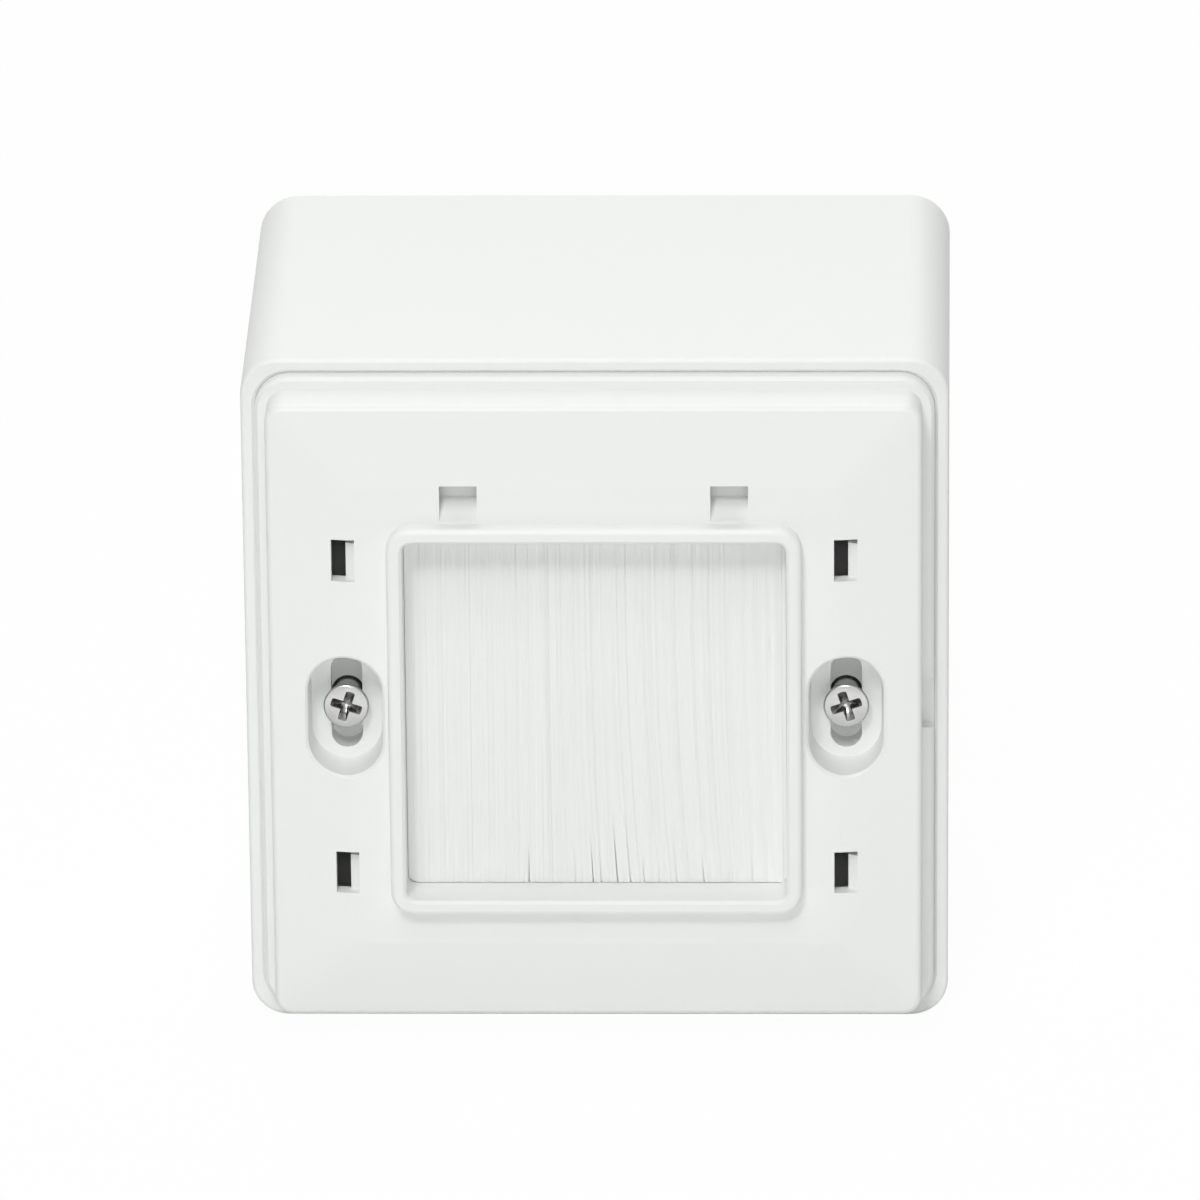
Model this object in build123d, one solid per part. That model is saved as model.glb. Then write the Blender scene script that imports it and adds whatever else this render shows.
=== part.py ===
# Cable brush plate on a square surface box.
# Everything is modelled lying on its back, x to the right, y up the wall and z out of the wall,
# and stood up at the end, so that the front faces -Y and the wall face lies on Y = 0.
import os
from math import atan, degrees
from build123d import *

# Box shell
box_side = 85.0
box_depth = 60.0
box_flare = 0.5
box_corner = 5.0
box_wall = 2.4
box_floor = 2.2
box_front_round = 0.5
cut_over = 1.0
tiny = 0.01
loop_band = 0.2

# Seat of the plate in the front of the box
rim_lip = 1.7
lip_bevel = 0.4
lip_bevel_angle = 45.0
rebate_depth = 1.2
plate_gap = 0.04

# Wall fixing and cable entry
wall_hole_pitch = 50.0
wall_hole_radius = 2.25
entry_radius = 10.0
entry_groove = 1.0
entry_web = 0.8

# Screw pillars and captive nuts; the inset puts the two screws 60.3 mm apart
screw_inset = 12.35
pillar_side = 9.4
pillar_web = 3.0
pad_length = 15.0
pad_thickness = 3.0
seat_rise = 1.0
nut_side = 6.0
nut_thickness = 2.2
nut_clearance = 0.15
nut_depth = 8.0

# Plate
flange_thickness = 3.0
flange_corner = 4.2
flange_bevel = 0.4
flange_step = 1.5
block_height = 5.8
block_corner = 2.2
block_round = 0.8
crown_height = 1.4
crown_border = 9.9
land_corner = 1.0
plate_wall = 2.0
stiffener_wall = 1.4
stiffener_depth = 3.0

# Opening and its raised rim
opening_corner = 1.2
rim_wall = 1.85
rim_corner = 3.0
rim_height = 2.2
rim_outer_round = 0.7
rim_inner_bevel = 0.35

# Screw recesses
recess_width = 9.1
recess_length = 15.2
recess_depth = 5.8
recess_draft = 3.0
recess_bevel = 0.3
recess_gap = 0.75
recess_cup_wall = 1.3
slot_clearance = 0.18
slot_length = 12.0

# Clip windows for a cover frame
clip_offset = 5.25
clip_drop = 4.75
clip_width = 2.8
clip_height = 5.3
catch_width = 1.1
catch_drop = 0.9
catch_sink = 0.8
catch_slope = 0.9
catch_length = 3.2

# Pry notch in the flange's right-hand side
notch_height = 6.5
notch_drop = 0.8
notch_inset = 0.7

# Strip brush
bristle_setback = 6.0
bristle_thickness = 2.4
bristle_side_gap = 0.05
bristle_tip_gap = 0.05
slit_width = 0.4
slits = ((-17.5, 2.0), (-13.0, 3.0), (-8.2, 4.0), (-3.2, 9.0), (-0.6, 5.0), (1.9, 12.0),
         (3.9, 7.0), (5.3, 4.0), (10.2, 5.0), (13.1, 4.0), (17.8, 6.0))
channel_sheet = 0.8
channel_height = 6.5
channel_end = 1.5
channel_bend = 1.0
channel_inner_bend = 0.25
wire_radius = 0.6
wire_drop = 1.2

# Windows above the rim and the hooks that hold the channel
hook_inset = 8.65
hook_width = 4.5
window_rise = 0.35
window_height = 4.4
ramp_height = 2.05
hook_leg = 1.4
hook_reach = 1.9
hook_barb = 1.0

# Screws
screw_radius = 1.72
screw_length = 24.0
screw_head_radius = 2.75
screw_head_edge = 0.35
screw_head_sink = 3.8
screw_tip = 0.5
screw_clearance = 0.25
thread_clearance = 0.04
cross_length = 3.7
cross_width = 0.95
cross_depth = 1.2
cross_taper = 9.0
cross_turns = (-18.0, 18.0)

# Heights above the wall
rebate_z = box_depth - rebate_depth
flange_z = rebate_z + flange_thickness
edge_z = flange_z + block_height
land_z = edge_z + crown_height
rim_z = land_z + rim_height
bristle_front_z = rim_z - bristle_setback
bristle_back_z = bristle_front_z - bristle_thickness
channel_front_z = bristle_front_z + channel_sheet
channel_back_z = bristle_back_z - channel_sheet
seat_z = rebate_z + seat_rise
pillar_z = seat_z - pad_thickness
nut_z = rebate_z - nut_depth
head_z = land_z - screw_head_sink

# Places across the wall
flange_side = box_side - 2 * (rim_lip + plate_gap)
block_side = flange_side - 2 * flange_step
land_side = block_side - 2 * crown_border
screw_x = box_side / 2 - screw_inset
rim_side = 2 * screw_x - recess_width - 2 * recess_gap
opening_side = rim_side - 2 * rim_wall
clip_x = rim_side / 2 + clip_offset
clip_y = rim_side / 2 - clip_drop
hook_x = rim_side / 2 - hook_inset
channel_bottom_y = rim_side / 2
channel_top_y = channel_bottom_y + channel_height
channel_length = opening_side + 2 * channel_end
slot_width = 2 * (screw_radius + slot_clearance)
sides = (-1, 1)


def slab(outline, low, high):
    """A flat outline raised from one height to another."""
    return Pos(0, 0, low) * extrude(outline, high - low)


def square(side, corner):
    """A square with rounded corners."""
    return RectangleRounded(side, side, corner)


def block(x, y, z):
    """A box between two values along each axis."""
    size = [high - low for low, high in (x, y, z)]
    middle = [(high + low) / 2 for low, high in (x, y, z)]
    return Pos(*middle) * Box(*size)


def along_x(points, x, width):
    """A prism of points in the y-z plane, centred on x."""
    face = make_face(Polyline(*[(0, y, z) for y, z in points], close=True))
    return Pos(x, 0, 0) * extrude(face, width / 2, dir=(1, 0, 0), both=True)


def upright_slot(length, width):
    """An obround standing on its end."""
    return Rot(0, 0, 90) * SlotOverall(length, width)


def outer_loop(part, z, reach):
    """The edges near height z that lie at least reach from the middle."""
    edges = part.edges().filter_by(lambda e: abs(e.center().Z - z) < loop_band)
    return edges.filter_by(lambda e: max(abs(e.center().X), abs(e.center().Y)) > reach)


def box_shell():
    """The tapered box, its hollow and the rebate for the plate."""
    taper = degrees(atan(box_flare / box_depth))
    back_side = box_side + 2 * box_flare
    shell = extrude(square(back_side, box_corner), box_depth, taper=taper)
    shell = fillet(outer_loop(shell, box_depth, box_side / 2 - box_corner), box_front_round)
    hollow = square(box_side - 2 * box_wall, box_corner - box_wall)
    rebate = square(flange_side + 2 * plate_gap, flange_corner + plate_gap)
    shell -= slab(hollow, box_floor, box_depth + cut_over)
    shell -= slab(rebate, rebate_z, box_depth + cut_over)
    return shell - Pos(0, 0, box_depth - lip_bevel) * extrude(rebate, lip_bevel + tiny, taper=-lip_bevel_angle)


def pillar(side):
    """One screw pillar with its web, the pad the plate rests on, its screw hole and nut slot."""
    x = side * screw_x
    half = pillar_side / 2
    web_end = side * (box_side / 2 - box_wall / 2)
    body = block((x - half, x + half), (-half, half), (box_floor / 2, pillar_z))
    body += block(sorted((x, web_end)), (-pillar_web / 2, pillar_web / 2), (box_floor / 2, pillar_z))
    body += block((x - half, x + half), (-pad_length / 2, pad_length / 2), (pillar_z, seat_z))
    hole = Circle(screw_radius + screw_clearance)
    hole_end = head_z - screw_length - screw_clearance
    body -= Pos(x, 0, 0) * slab(hole, hole_end, seat_z + cut_over)
    reach = nut_side / 2 + nut_clearance
    nut_half = nut_thickness / 2 + nut_clearance
    mouth = x - side * (half + cut_over)
    slot = block(sorted((mouth, x + side * reach)), (-reach, reach), (nut_z - nut_half, nut_z + nut_half))
    return body - slot


def back_box():
    """Surface box with pillars, fixing holes and a knock-out."""
    box = box_shell()
    for side in sides:
        box += pillar(side)
    holes = GridLocations(wall_hole_pitch, wall_hole_pitch, 2, 2)
    drill = slab(Circle(wall_hole_radius), -cut_over, box_floor + cut_over)
    box -= [place * drill for place in holes]
    groove = Circle(entry_radius) - Circle(entry_radius - entry_groove)
    return box - slab(groove, -cut_over, box_floor - entry_web)


def raised_block():
    """The solid outer form of the raised part, with its gently crowned front."""
    raised = slab(square(block_side, block_corner), rebate_z, edge_z)
    foot = Pos(0, 0, edge_z) * square(block_side, block_corner)
    land = Pos(0, 0, land_z) * square(land_side, land_corner)
    raised += loft([foot.face(), land.face()], ruled=True)
    return fillet(outer_loop(raised, edge_z, block_side / 2 - block_corner), block_round)


def plate_shell(raised):
    """The flange and the hollowed raised block."""
    flange = slab(square(flange_side, flange_corner), rebate_z, flange_z)
    flange = chamfer(outer_loop(flange, flange_z, flange_side / 2 - flange_corner), flange_bevel)
    inner = square(block_side - 2 * plate_wall, land_corner)
    hollow = slab(inner, rebate_z - cut_over, edge_z - plate_wall)
    low = Pos(0, 0, edge_z - plate_wall) * inner
    high = Pos(0, 0, land_z - plate_wall) * square(land_side, land_corner)
    hollow += loft([low.face(), high.face()], ruled=True)
    return flange + raised - hollow


def opening_rim(plate):
    """The rim and skirt round the opening, added to the plate and cut through."""
    plate += slab(square(rim_side, rim_corner), channel_back_z, rim_z)
    plate = fillet(outer_loop(plate, rim_z, 0), rim_outer_round)
    plate -= slab(square(opening_side, opening_corner), channel_back_z - cut_over, rim_z + cut_over)
    top = outer_loop(plate, rim_z, 0)
    inner = top.filter_by(lambda e: max(abs(e.center().X), abs(e.center().Y)) < opening_side / 2 + tiny)
    plate = chamfer(inner, rim_inner_bevel)
    half = opening_side / 2
    way = block((-half, half), (half - opening_corner, rim_side / 2 + cut_over),
                (channel_back_z - cut_over, bristle_front_z))
    return plate - way


def stiffener(x):
    """A rib behind the front, from the skirt's foot to the block's lower wall."""
    return block((x - stiffener_wall / 2, x + stiffener_wall / 2),
                 (plate_wall / 2 - block_side / 2, rim_wall / 2 - rim_side / 2),
                 (edge_z - plate_wall - stiffener_depth, land_z))


def screw_cup(side):
    """The obround cup behind one screw recess, and the cutter of its recess and slot."""
    x = side * screw_x
    wide = recess_cup_wall * 2
    cup = slab(upright_slot(recess_length + wide, recess_width + wide), seat_z, land_z)
    mouth = upright_slot(recess_length, recess_width)
    recess = Pos(0, 0, land_z) * extrude(mouth, -recess_depth, taper=recess_draft)
    recess += slab(mouth, land_z, rim_z)
    slot = slab(upright_slot(slot_length, slot_width), rebate_z - cut_over, land_z)
    return Pos(x, 0, 0) * cup, Pos(x, 0, 0) * (recess + slot)


def recess_mouth(plate, x):
    """The edges where a screw recess meets the front of the plate."""
    front = plate.edges().filter_by(lambda e: edge_z < e.bounding_box().min.Z)
    front = front.filter_by(lambda e: e.bounding_box().max.Z < land_z + tiny)
    beside = front.filter_by(lambda e: abs(e.center().X - x) < recess_width / 2 + tiny)
    return beside.filter_by(lambda e: abs(e.center().Y) < recess_length / 2 + tiny)


def clip_window(x, y):
    """A through window and the sloped catch that stands in its right-hand side."""
    half_x, half_y = clip_width / 2, clip_height / 2
    hole = block((x - half_x, x + half_x), (y - half_y, y + half_y), (flange_z, rim_z))
    top = land_z - catch_sink
    left = x + half_x - catch_width
    right = x + half_x + plate_wall / 2
    foot = top - catch_length
    outline = [(left, top - catch_slope), (right, top), (right, foot), (left, foot)]
    face = make_face(Polyline(*[(px, y - half_y - plate_wall / 2, pz) for px, pz in outline], close=True))
    catch = extrude(face, clip_height - catch_drop + plate_wall / 2, dir=(0, 1, 0))
    return hole, catch


def hook_window(x):
    """The window above the rim, the ramp in its foot and the hook behind it."""
    low = channel_bottom_y + window_rise
    high = low + window_height
    hole = block((x - hook_width / 2, x + hook_width / 2), (low, high), (channel_front_z, rim_z))
    foot = channel_bottom_y - rim_wall / 2
    ramp = along_x([(foot, land_z), (low, land_z), (low + ramp_height, channel_front_z),
                    (foot, channel_front_z)], x, hook_width)
    far = channel_top_y + hook_leg
    end = channel_back_z - hook_barb
    hook = along_x([(channel_top_y, land_z), (far, land_z), (far, end), (channel_top_y, end),
                    (channel_top_y - hook_reach, channel_back_z), (channel_top_y, channel_back_z)],
                   x, hook_width)
    return hole, ramp, hook


def mounting_plate():
    """The moulded plate with all its windows, recesses and hooks."""
    raised = raised_block()
    inside = Pos(0, 0, -plate_wall / 2) * raised
    plate = opening_rim(plate_shell(raised))
    for side in sides:
        cup, recess = screw_cup(side)
        plate = plate + (cup & inside) - recess
    mouths = [edge for side in sides for edge in recess_mouth(plate, side * screw_x)]
    plate = chamfer(mouths, recess_bevel)
    for side in sides:
        for height in (-clip_y, clip_y):
            hole, catch = clip_window(side * clip_x, height)
            plate = plate - hole + catch
        hole, ramp, hook = hook_window(side * hook_x)
        plate = plate - hole + ramp + (hook & inside) + (stiffener(side * hook_x) & inside)
    middle = notch_height / 2
    return plate - block((block_side / 2 - notch_inset, box_side / 2),
                         (-middle - notch_drop, middle - notch_drop), (box_depth, flange_z + notch_inset))


def strip(low, thickness, top, bend, length):
    """A bar along x with the two edges of its top rounded."""
    middle = (bristle_front_z + bristle_back_z) / 2
    bar = block((-length / 2, length / 2), (low, top), (middle - thickness / 2, middle + thickness / 2))
    edges = bar.edges().filter_by(Axis.X).group_by(Axis.Y)[-1]
    return fillet(edges, bend)


def brush_channel():
    """Folded metal channel, open downwards."""
    outer = strip(channel_bottom_y, bristle_thickness + 2 * channel_sheet, channel_top_y, channel_bend,
                  channel_length)
    return outer - strip(channel_bottom_y - cut_over, bristle_thickness, channel_top_y - channel_sheet,
                         channel_inner_bend, channel_length + cut_over)


def core_wire():
    """The wire the filaments are folded over, along the top of the channel."""
    middle = (bristle_front_z + bristle_back_z) / 2
    y = channel_top_y - channel_sheet - wire_drop
    return Pos(0, y, middle) * Rot(0, 90, 0) * Cylinder(wire_radius, channel_length)


def bristles():
    """The curtain of filaments, folded over the core wire and parted into tufts at the tips."""
    tips = bristle_tip_gap - opening_side / 2
    curtain = strip(tips, bristle_thickness, channel_top_y - channel_sheet, channel_inner_bend,
                    opening_side - 2 * bristle_side_gap)
    curtain = fillet(curtain.edges().filter_by(Axis.Z).group_by(Axis.Y)[0], opening_corner)
    for x, height in slits:
        left, right = x - slit_width / 2, x + slit_width / 2
        notch = make_face(Polyline((left, tips), (x, tips + height), (right, tips), close=True))
        curtain -= slab(notch, bristle_back_z - cut_over, bristle_front_z + cut_over)
    return curtain - core_wire()


def fixing_screw(x, turn):
    """A countersunk screw with a tapered cross recess."""
    cone = screw_head_radius - screw_radius
    edge = head_z - screw_head_edge
    neck = edge - cone
    tip = head_z - screw_length
    outline = Polyline((0, head_z), (screw_head_radius, head_z), (screw_head_radius, edge),
                       (screw_radius, neck), (screw_radius, tip + screw_tip), (screw_radius - screw_tip, tip),
                       (0, tip), close=True)
    body = revolve(make_face(Rot(90, 0, 0) * outline), Axis.Z)
    cross = Rectangle(cross_length, cross_width) + Rectangle(cross_width, cross_length)
    recess = Pos(0, 0, head_z) * extrude(cross, -cross_depth, taper=cross_taper)
    return Pos(x, 0, 0) * Rot(0, 0, turn) * (body - recess)


def captive_nut(x):
    """A square nut that fills its slot in the pillar."""
    nut = Pos(0, 0, nut_z) * Box(nut_side, nut_side, nut_thickness)
    bore = Pos(0, 0, nut_z) * Cylinder(screw_radius + thread_clearance, nut_thickness + cut_over)
    return Pos(x, 0, 0) * (nut - bore)


nodes = {
    "back_box": back_box(),
    "mounting_plate": mounting_plate(),
    "brush_channel": brush_channel(),
    "core_wire": core_wire(),
    "bristles": bristles(),
    "fixing_screws": Compound([fixing_screw(side * screw_x, turn) for side, turn in zip(sides, cross_turns)]),
    "captive_nuts": Compound([captive_nut(side * screw_x) for side in sides]),
}

os.makedirs("parts", exist_ok=True)
for name, solid in nodes.items():
    export_step(Rot(90, 0, 0) * solid, f"parts/{name}.step")
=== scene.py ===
import math
import random

import bmesh
import bpy
from mathutils import Matrix, Vector


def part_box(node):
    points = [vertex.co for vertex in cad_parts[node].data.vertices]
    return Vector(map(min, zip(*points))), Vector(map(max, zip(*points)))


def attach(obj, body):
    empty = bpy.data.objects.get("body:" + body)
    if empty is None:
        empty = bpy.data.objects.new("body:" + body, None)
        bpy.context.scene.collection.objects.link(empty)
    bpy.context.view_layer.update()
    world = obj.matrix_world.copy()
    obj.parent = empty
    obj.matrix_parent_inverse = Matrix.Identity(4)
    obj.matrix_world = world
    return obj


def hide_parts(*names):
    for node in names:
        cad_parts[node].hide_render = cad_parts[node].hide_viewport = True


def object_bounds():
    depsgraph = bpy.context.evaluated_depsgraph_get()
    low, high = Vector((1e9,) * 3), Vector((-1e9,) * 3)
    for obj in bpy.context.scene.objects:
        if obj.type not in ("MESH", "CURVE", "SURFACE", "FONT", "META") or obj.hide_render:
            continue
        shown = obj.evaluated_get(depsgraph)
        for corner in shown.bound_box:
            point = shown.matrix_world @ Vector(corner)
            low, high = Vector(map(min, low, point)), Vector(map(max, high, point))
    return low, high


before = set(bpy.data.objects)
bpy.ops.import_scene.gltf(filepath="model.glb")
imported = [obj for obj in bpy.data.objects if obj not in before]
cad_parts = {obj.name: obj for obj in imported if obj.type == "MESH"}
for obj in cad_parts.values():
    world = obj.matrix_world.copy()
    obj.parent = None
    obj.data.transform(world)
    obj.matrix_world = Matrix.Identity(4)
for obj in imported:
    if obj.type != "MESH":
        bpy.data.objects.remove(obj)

cad_low, cad_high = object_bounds()

# Surface box: the square box that is screwed to the wall and takes the plate in the rebate at its front.
# One injection moulding in white thermoplastic, with a fine satin grain from the spark-eroded mould.
box_white = (0.905, 0.922, 0.899, 1)
box_white_deep = (0.888, 0.906, 0.883, 1)
box_roughness = 0.4
noise_middle = 0.5


class Shade:
    """A socket in a material's node tree; arithmetic on it adds Math nodes."""

    def __init__(self, tree, socket=None):
        self.tree = tree
        self.socket = socket

    def node(self, kind, settings=None, inputs=None, output=0):
        made = self.tree.nodes.new(kind)
        for name, value in (settings or {}).items():
            setattr(made, name, value)
        for name, value in (inputs or {}).items():
            self.plug(made.inputs[name], value)
        return Shade(self.tree, made.outputs[output])

    def plug(self, socket, value):
        if isinstance(value, Shade):
            self.tree.links.new(value.socket, socket)
        else:
            socket.default_value = value

    def math(self, operation, first, second):
        return self.node("ShaderNodeMath", {"operation": operation}, {0: first, 1: second})

    def __add__(self, other):
        return self.math("ADD", self, other)

    def __sub__(self, other):
        return self.math("SUBTRACT", self, other)

    def __rsub__(self, other):
        return self.math("SUBTRACT", other, self)

    def __mul__(self, other):
        return self.math("MULTIPLY", self, other)

    def most(self, other):
        return self.math("MAXIMUM", self, other)

    __radd__ = __add__
    __rmul__ = __mul__


def start_material(name):
    """A new material, a Shade on its tree and its Principled shader."""
    material = bpy.data.materials.new(name)
    material.use_nodes = True
    tree = material.node_tree
    return material, Shade(tree), tree.nodes["Principled BSDF"]


def speckle(shade, place, scale, detail=2.0):
    return shade.node("ShaderNodeTexNoise", {}, {"Vector": place, "Scale": scale, "Detail": detail})


def blend_colours(shade, amount, first, second):
    return shade.node("ShaderNodeMix", {"data_type": "RGBA"}, {0: amount, 6: first, 7: second}, 2)


def moulded_plastic(name, light, deep, roughness):
    """Satin moulded plastic: faint clouding from the melt, uneven gloss and the mould's fine grain."""
    cloud_scale, cloud_detail, gloss_scale, grain_scale = 38, 4, 420, 3600
    gloss_spread, grain_depth, grain_strength = 0.12, 0.000012, 0.35
    material, shade, surface = start_material(name)
    place = shade.node("ShaderNodeTexCoord", output="Object")
    cloud = speckle(shade, place, cloud_scale, cloud_detail)
    gloss = speckle(shade, place, gloss_scale)
    grain = speckle(shade, place, grain_scale)
    shade.plug(surface.inputs["Base Color"], blend_colours(shade, cloud, light, deep))
    shade.plug(surface.inputs["Roughness"], (gloss - noise_middle) * gloss_spread + roughness)
    bump = shade.node(
        "ShaderNodeBump", {}, {"Height": grain, "Strength": grain_strength, "Distance": grain_depth}
    )
    shade.plug(surface.inputs["Normal"], bump)
    return material


def coat(node, material):
    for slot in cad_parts[node].material_slots:
        slot.material = material


coat("back_box", moulded_plastic("box_plastic", box_white, box_white_deep, box_roughness))

# Captive nuts: two square nuts pushed sideways into slots of the box's pillars, where the screws find them.
# Blanked from strip steel and zinc-plated, so the faces keep a fine rolled grain under a dull plating.
zinc_light = (0.66, 0.67, 0.68, 1)
zinc_dull = (0.52, 0.53, 0.53, 1)
zinc_roughness = 0.38
zinc_grain = (900, 2500, 5200)
zinc_bump = 0.00001


def plated_metal(name, light, dull, roughness, grain_stretch, bump_depth, painted_shade=None):
    """Metal with a grain scaled along each axis by grain_stretch, darkened with painted shade where the named
    vertex attribute is 1.
    """
    patch_scale, grain_detail, roughness_spread, bump_strength = 260, 3, 0.16, 0.25
    painted_shade_dark, fleck_scale, fleck_contrast = (0.08, 0.078, 0.075, 1), 2200, 1.7
    material, shade, surface = start_material(name)
    place = shade.node("ShaderNodeTexCoord", output="Object")
    stretched = shade.node("ShaderNodeMapping", {}, {"Vector": place, "Scale": grain_stretch})
    grain = speckle(shade, stretched, 1, grain_detail)
    patch = speckle(shade, place, patch_scale, grain_detail)
    colour = blend_colours(shade, patch, light, dull)
    # painted shade: the named attribute darkens the metal inside the cross recess, broken up by flecks
    if painted_shade:
        shade_share = shade.node("ShaderNodeAttribute", {"attribute_name": painted_shade}, output="Fac")
        fleck = speckle(shade, place, fleck_scale)
        colour = blend_colours(shade, shade_share * fleck * fleck_contrast, colour, painted_shade_dark)
    shade.plug(surface.inputs["Base Color"], colour)
    shade.plug(surface.inputs["Roughness"], (grain - noise_middle) * roughness_spread + roughness)
    surface.inputs["Metallic"].default_value = 1
    bump = shade.node(
        "ShaderNodeBump", {}, {"Height": grain, "Strength": bump_strength, "Distance": bump_depth}
    )
    shade.plug(surface.inputs["Normal"], bump)
    return material


zinc_plate = plated_metal("zinc_plate", zinc_light, zinc_dull, zinc_roughness, zinc_grain, zinc_bump)
coat("captive_nuts", zinc_plate)

# Mounting plate: the cover that sits in the box's rebate, with the raised rim round the brush opening,
# the two slotted screw recesses and the clip windows. One moulding in the same white plastic as the box.
plate_white = (0.903, 0.921, 0.898, 1)
plate_white_deep = (0.888, 0.906, 0.883, 1)
plate_roughness = 0.42

coat("mounting_plate", moulded_plastic("plate_plastic", plate_white, plate_white_deep, plate_roughness))

# Brush channel: the strip folded over the bristles' bent roots, held behind the opening's top by two hooks
# of the plate. Roll-formed from thin aluminium, left with the mill's lengthwise grain.
mill_light = (0.56, 0.56, 0.555, 1)
mill_dull = (0.49, 0.49, 0.49, 1)
mill_roughness = 0.46
mill_grain = (120, 4200, 4200)
mill_bump = 0.000008

mill_aluminium = plated_metal("mill_aluminium", mill_light, mill_dull, mill_roughness, mill_grain, mill_bump)
coat("brush_channel", mill_aluminium)

# Core wire: the wire round which the bristles are doubled before the channel is closed on them.
# Drawn steel, left bright, with fine die lines along its length.
wire_light = (0.6, 0.6, 0.6, 1)
wire_dull = (0.5, 0.5, 0.51, 1)
wire_roughness = 0.3
wire_grain = (90, 6000, 6000)
wire_bump = 0.000006

drawn_wire = plated_metal("drawn_wire", wire_light, wire_dull, wire_roughness, wire_grain, wire_bump)
coat("core_wire", drawn_wire)

# Bristles: the curtain of fine nylon filaments that closes the opening and lets cables through. They hang
# from the channel over the opening, cut level at the foot, and part where cables have been.
nylon_white = (0.915, 0.926, 0.909, 1)
nylon_shade = (0.88, 0.892, 0.875, 1)
nylon_roughness = 0.5
nylon_gloss_spread = 0.2
nylon_streaks = (2600, 900, 14)
streak_detail = 3
filament_radius = 0.00012
filament_sides = 3
filament_margin = 2 * filament_radius
filament_bends = 6
filament_rows = 8
filaments_in_row = 440
filament_jitter = 0.000025
filament_sway = 0.00004
filament_depth_jitter = 0.00008
filament_turn = 0.2
opening_corner = 0.00125
tip_raggedness = 0.0001
comb_lean = 0.0018
comb_lean_at = 0.008
comb_lean_reach = 0.015
# each parting: place across the opening, height from the tips, width at the tips
partings = (
    (-0.0175, 0.002, 0.00006),
    (-0.0130, 0.003, 0.00006),
    (-0.0083, 0.003, 0.00015),
    (-0.0034, 0.014, 0.00008),
    (-0.0016, 0.010, 0.00014),
    (-0.0008, 0.007, 0.00010),
    (0.0010, 0.013, 0.00014),
    (0.0024, 0.018, 0.00010),
    (0.0040, 0.004, 0.00012),
    (0.0058, 0.006, 0.00009),
    (0.0078, 0.009, 0.00010),
    (0.0112, 0.005, 0.00013),
    (0.0146, 0.003, 0.00008),
    (0.0178, 0.003, 0.00008),
)
parting_reach = 0.00062
parting_depth = 0.55
comb_seed = 11

random.seed(comb_seed)
curtain_low, curtain_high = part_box("bristles")
curtain_height = curtain_high.z - curtain_low.z

bm = bmesh.new()
bmesh.ops.create_cone(
    bm, cap_ends=True, segments=filament_sides, radius1=filament_radius, radius2=filament_radius, depth=1
)
bmesh.ops.subdivide_edges(
    bm,
    edges=[edge for edge in bm.edges if abs(edge.verts[0].co.z - edge.verts[1].co.z) > filament_radius],
    cuts=filament_bends,
    use_grid_fill=True,
)
filament = bpy.data.meshes.new("filament")
bm.to_mesh(filament)
bm.free()


def comb_offset(x, drop, row_share):
    """Sideways shift, at a share of its drop, of a filament that hangs at x; row_share is 0 at the front."""
    above_tips = (1 - drop) * curtain_height
    lean = max(0, 1 - ((x - comb_lean_at) / comb_lean_reach) ** 2)
    shift = comb_lean * lean * drop ** 3
    for centre, height, width in partings:
        away = x - centre
        if abs(away) < parting_reach and above_tips < height:
            side = 1 if away > 0 else -1
            open_share = (1 - above_tips / height) * (1 - abs(away) / parting_reach)
            shift += side * width * open_share * max(0, 1 - row_share / parting_depth)
    return shift


bm = bmesh.new()
hangs = []
filament_half = filament_radius * math.cos(math.pi / (2 * filament_sides))
left_most = curtain_low.x + filament_half
right_most = curtain_high.x - filament_half
inner_depth = curtain_high.y - curtain_low.y - 2 * filament_margin
for row in range(filament_rows):
    for place in range(filaments_in_row):
        bm.from_mesh(filament)
        across = (place + 0.5 * (row % 2)) / (filaments_in_row - 0.5)
        x = left_most + across * (right_most - left_most) + random.uniform(-1, 1) * filament_jitter
        into_corner = max(0, opening_corner - min(x - curtain_low.x, curtain_high.x - x))
        corner_rise = opening_corner - math.sqrt(opening_corner ** 2 - into_corner ** 2)
        hangs.append((
            x,
            curtain_low.y + filament_margin + row / (filament_rows - 1) * inner_depth
            + random.uniform(-1, 1) * filament_depth_jitter,
            row / (filament_rows - 1),
            corner_rise + random.uniform(0, tip_raggedness),
            random.uniform(-1, 1) * filament_sway,
            random.uniform(-1, 1) * filament_turn,
        ))
vertices_each = len(filament.vertices)
for index, vertex in enumerate(bm.verts):
    x, y, row_share, short, sway, turn = hangs[index // vertices_each]
    drop = 0.5 - vertex.co.z
    twisted = Matrix.Rotation(turn, 3, "Z") @ Vector((vertex.co.x, vertex.co.y, 0))
    side = x + comb_offset(x, drop, row_share) + sway * math.sin(math.pi * drop) ** 2 * drop
    side = min(max(side, left_most), right_most)
    vertex.co = (
        side + twisted.x,
        y + twisted.y,
        curtain_high.z - drop * (curtain_height - short),
    )
curtain_mesh = bpy.data.meshes.new("bristle_curtain")
bm.to_mesh(curtain_mesh)
bm.free()
bristle_curtain = bpy.data.objects.new("bristle_curtain", curtain_mesh)
bpy.context.collection.objects.link(bristle_curtain)

nylon, shade, surface = start_material("bristle_nylon")
place = shade.node("ShaderNodeTexCoord", output="Object")
along = shade.node("ShaderNodeMapping", {}, {"Vector": place, "Scale": nylon_streaks})
streak = speckle(shade, along, 1, streak_detail)
shade.plug(surface.inputs["Base Color"], blend_colours(shade, streak, nylon_white, nylon_shade))
shade.plug(surface.inputs["Roughness"], (streak - noise_middle) * nylon_gloss_spread + nylon_roughness)
curtain_mesh.materials.append(nylon)
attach(bristle_curtain, "root")
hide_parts("bristles")

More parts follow.
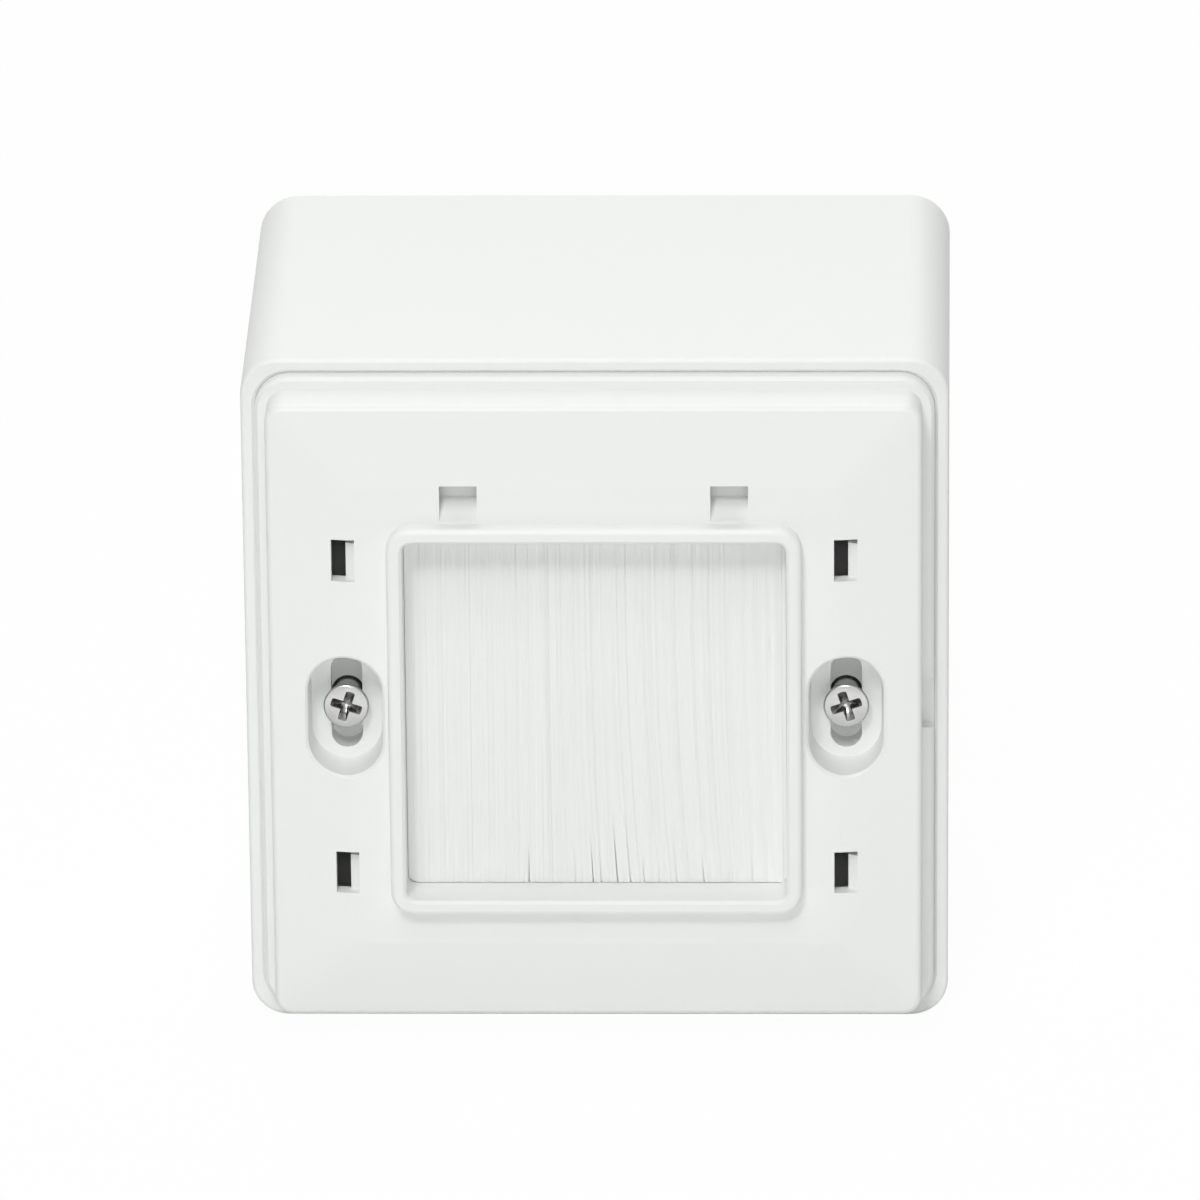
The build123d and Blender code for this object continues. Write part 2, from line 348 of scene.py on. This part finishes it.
# Fixing screws: the two M3.5 countersunk machine screws that draw the plate down on the box.
# Cold-headed steel with a rolled thread and a punched cross recess, finished in bright nickel.
nickel_light = (0.56, 0.56, 0.545, 1)
nickel_dull = (0.45, 0.45, 0.44, 1)
nickel_roughness = 0.24
nickel_grain = (1800, 1800, 1800)
nickel_bump = 0.000006
ring_points = 96
head_radius = 0.00275
head_edge = 0.00035
head_rounding = 0.00022
rounding_steps = 4
neck_depth = 0.0016
shank_radius = 0.00172
thread_root = 0.00147
thread_pitch = 0.0006
thread_start = 0.007
thread_runout = 0.0003
thread_flank = 0.4 * thread_pitch
thread_steps = 24
tip_chamfer = 0.0005
# outlines of the cross recess on its way down: arm length, half width, depth, share of painted shade
cross_rings = (
    (0.00192, 0.00056, 0, 0),
    (0.00183, 0.00047, 0.00012, 0.35),
    (0.00120, 0.00041, 0.00075, 0.9),
    (0.00062, 0.00034, 0.0012, 0.55),
)
cross_point = 0.0002
cross_turns = (-18, 18)
least_sine = 1e-6
merge_distance = 1e-6
sharp_angle = math.radians(32)

screws_low, screws_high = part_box("fixing_screws")
screw_length = screws_high.y - screws_low.y
screw_x = screws_high.x - head_radius


def cross_radius(angle, arm, half_width):
    """Distance from the axis to the edge of a cross recess in the direction of angle."""
    off_arm = abs((angle + math.pi / 4) % (math.pi / 2) - math.pi / 4)
    return min(arm, half_width / max(math.sin(off_arm), least_sine))


def machine_screw(turn):
    """A screw on the Z axis with the front of its head at 0 and its tip at -screw_length."""
    bm = bmesh.new()
    profile = [(head_radius - head_rounding, 0)]
    for step in range(1, rounding_steps + 1):
        angle = step / rounding_steps * math.pi / 2
        profile.append((
            head_radius - head_rounding * (1 - math.sin(angle)),
            -head_rounding * (1 - math.cos(angle)),
        ))
    profile += [
        (head_radius, -head_edge),
        (shank_radius, -head_edge - neck_depth),
        (shank_radius, -thread_start),
        (thread_root, -thread_start - thread_runout),
        (thread_root, tip_chamfer - screw_length),
        (thread_root - tip_chamfer, -screw_length),
    ]
    outline = [bm.verts.new((radius, 0, height)) for radius, height in profile]
    edges = [bm.edges.new(pair) for pair in zip(outline, outline[1:])]
    bmesh.ops.spin(
        bm, geom=outline + edges, axis=(0, 0, 1), cent=(0, 0, 0),
        angle=2 * math.pi, steps=ring_points, use_merge=True,
    )
    bmesh.ops.remove_doubles(bm, verts=bm.verts, dist=merge_distance)
    rims = [edge for edge in bm.edges if edge.is_boundary]
    tip_rim = [edge for edge in rims if edge.verts[0].co.z < -screw_length / 2]
    bmesh.ops.contextual_create(bm, geom=tip_rim)

    head_rim = [edge for edge in rims if edge.verts[0].co.z > -screw_length / 2]
    # each ring's share of painted shade, strongest deep in the cross recess
    painted_shade = bm.verts.layers.float.new("painted_shade")
    for arm, half_width, depth, shade_share in cross_rings:
        ring = bmesh.ops.extrude_edge_only(bm, edges=head_rim)["geom"]
        head_rim = [part for part in ring if isinstance(part, bmesh.types.BMEdge)]
        for vertex in {vertex for edge in head_rim for vertex in edge.verts}:
            angle = math.atan2(vertex.co.y, vertex.co.x)
            radius = cross_radius(angle - math.radians(turn), arm, half_width)
            vertex.co = (radius * math.cos(angle), radius * math.sin(angle), -depth)
            vertex[painted_shade] = shade_share
    floor = bmesh.ops.contextual_create(bm, geom=head_rim)["faces"]
    point = bmesh.ops.poke(bm, faces=floor)["verts"]
    bmesh.ops.translate(bm, verts=point, vec=(0, 0, -cross_point))
    bmesh.ops.recalc_face_normals(bm, faces=bm.faces)

    ridge_low = tip_chamfer + thread_pitch - screw_length
    turns = int((-thread_start - ridge_low) / thread_pitch)
    ridge = [
        bm.verts.new((thread_root, 0, ridge_low - thread_flank)),
        bm.verts.new((shank_radius, 0, ridge_low)),
        bm.verts.new((thread_root, 0, ridge_low + thread_flank)),
    ]
    ridge_edges = [bm.edges.new(pair) for pair in zip(ridge, ridge[1:])]
    bmesh.ops.spin(
        bm, geom=ridge + ridge_edges, axis=(0, 0, 1), cent=(0, 0, 0),
        dvec=(0, 0, thread_pitch / thread_steps), angle=2 * math.pi * turns, steps=thread_steps * turns,
    )
    for face in bm.faces:
        face.smooth = True
    return bm


screws_bm = bmesh.new()
to_front = Matrix.Rotation(math.pi / 2, 3, "X")
for side, turn in zip((-1, 1), cross_turns):
    screw_bm = machine_screw(turn)
    bmesh.ops.rotate(screw_bm, verts=screw_bm.verts, cent=(0, 0, 0), matrix=to_front)
    bmesh.ops.translate(screw_bm, verts=screw_bm.verts, vec=(side * screw_x, screws_low.y, 0))
    one_screw = bpy.data.meshes.new("one_screw")
    screw_bm.to_mesh(one_screw)
    screws_bm.from_mesh(one_screw)
    screw_bm.free()
screws_mesh = bpy.data.meshes.new("cross_head_screws")
screws_bm.to_mesh(screws_mesh)
screws_bm.free()
screws_mesh.set_sharp_from_angle(angle=sharp_angle)
cross_head_screws = bpy.data.objects.new("cross_head_screws", screws_mesh)
bpy.context.collection.objects.link(cross_head_screws)
# the nickel gets painted shade inside the cross recess
screws_mesh.materials.append(
    plated_metal(
        "nickel_plate", nickel_light, nickel_dull, nickel_roughness, nickel_grain, nickel_bump, "painted_shade"
    )
)
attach(cross_head_screws, "root")
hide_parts("fixing_screws")

# Studio: a white sweep for a floor and even white surroundings, which show as white to the camera and in
# reflections. Softboxes hang overhead, behind, and twice high in front, with a small card low before the box.
floor_half = 4.0
floor_white = (0.9, 0.9, 0.9, 1)
floor_roughness = 0.9
floor_shown_white = 0.97
surround_strength = 0.12
lamp_target = (0, -0.05, 0)
overhead_power = 3.3
overhead_size = 0.35
overhead_place = (0, 0.12, 1.5)
crown_power = 4.7
crown_size = 0.6
crown_place = (-0.1, -0.80, 1.30)
rear_power = 7.0
rear_size = 1.0
rear_place = (0, 0.914, 1.149)
key_power = 5.6
key_size = 0.25
key_place = (-0.22, -1.13, 1.02)
bounce_power = 0.012
bounce_size = (0.2, 0.03)
bounce_place = (0, -0.17, -0.04)
bounce_target = (0, -0.07, -0.03)

bm = bmesh.new()
bmesh.ops.create_grid(bm, x_segments=1, y_segments=1, size=floor_half)
bmesh.ops.translate(bm, verts=bm.verts, vec=(0, 0, cad_low.z))
floor_mesh = bpy.data.meshes.new("floor")
bm.to_mesh(floor_mesh)
bm.free()
floor = bpy.data.objects.new("floor", floor_mesh)
bpy.context.collection.objects.link(floor)


def shown_directly(shade):
    """1 for rays from the camera and in reflections and clear material, 0 for the light on the object."""
    seen = shade.node("ShaderNodeLightPath", output="Is Camera Ray")
    mirrored = shade.node("ShaderNodeLightPath", output="Is Glossy Ray")
    through = shade.node("ShaderNodeLightPath", output="Is Transmission Ray")
    return seen.most(mirrored).most(through)


sweep, shade, surface = start_material("white_sweep")
surface.inputs["Base Color"].default_value = floor_white
surface.inputs["Roughness"].default_value = floor_roughness
surface.inputs["Specular IOR Level"].default_value = 0
glow = shade.node("ShaderNodeEmission", {}, {"Color": (1, 1, 1, 1), "Strength": 1})
lit = Shade(shade.tree, surface.outputs[0])
mixed = shade.node(
    "ShaderNodeMixShader", {}, {0: shown_directly(shade) * floor_shown_white, 1: lit, 2: glow}
)
shade.plug(shade.tree.nodes["Material Output"].inputs["Surface"], mixed)
floor_mesh.materials.append(sweep)

surround = bpy.data.worlds.new("white_surround")
surround.use_nodes = True
shade = Shade(surround.node_tree)
backdrop = surround.node_tree.nodes["Background"]
backdrop.inputs["Color"].default_value = (1, 1, 1, 1)
shade.plug(backdrop.inputs["Strength"], shown_directly(shade) * (1 - surround_strength) + surround_strength)
bpy.context.scene.world = surround


def softbox(name, power, width, height, place, target=lamp_target):
    lamp = bpy.data.lights.new(name, "AREA")
    lamp.energy = power
    lamp.shape = "RECTANGLE"
    lamp.size = width
    lamp.size_y = height
    box = bpy.data.objects.new(name, lamp)
    box.matrix_world = Matrix.Translation(place) @ (
        (Vector(target) - Vector(place)).to_track_quat("-Z", "Y").to_matrix().to_4x4()
    )
    box.visible_camera = False
    bpy.context.collection.objects.link(box)


softbox("overhead_softbox", overhead_power, overhead_size, overhead_size, overhead_place)
softbox("crown_softbox", crown_power, crown_size, crown_size, crown_place)
softbox("rear_softbox", rear_power, rear_size, rear_size, rear_place)
softbox("key_softbox", key_power, key_size, key_size, key_place)
softbox("bounce_card", bounce_power, *bounce_size, bounce_place, bounce_target)

# Camera: a long lens a little above the object and a touch to its right, level to half a degree.
# A small ring light at the lens reaches into the clip windows and the screw slots.
camera_aim = Vector((0.000457, -0.060, 0.01174))
camera_rise = math.radians(20.652)
camera_round = math.radians(1.4255)
camera_roll = math.radians(-0.5227)
camera_distance = 1.36405
camera_lens = 339.3
camera_clip = (0.1, 20)
ring_power = 2.9
ring_size = 0.08

toward = Vector((
    math.sin(camera_round) * math.cos(camera_rise),
    -math.cos(camera_round) * math.cos(camera_rise),
    math.sin(camera_rise),
))
camera_place = camera_aim + toward * camera_distance
softbox("ring_light", ring_power, ring_size, ring_size, camera_place, camera_aim)

camera_data = bpy.data.cameras.new("camera")
camera_data.lens = camera_lens
camera_data.clip_start, camera_data.clip_end = camera_clip
camera = bpy.data.objects.new("camera", camera_data)
camera.matrix_world = (
    Matrix.Translation(camera_place)
    @ toward.to_track_quat("Z", "Y").to_matrix().to_4x4()
    @ Matrix.Rotation(camera_roll, 4, "Z")
)
bpy.context.collection.objects.link(camera)
bpy.context.scene.camera = camera
bpy.context.scene.view_settings.view_transform = "Standard"
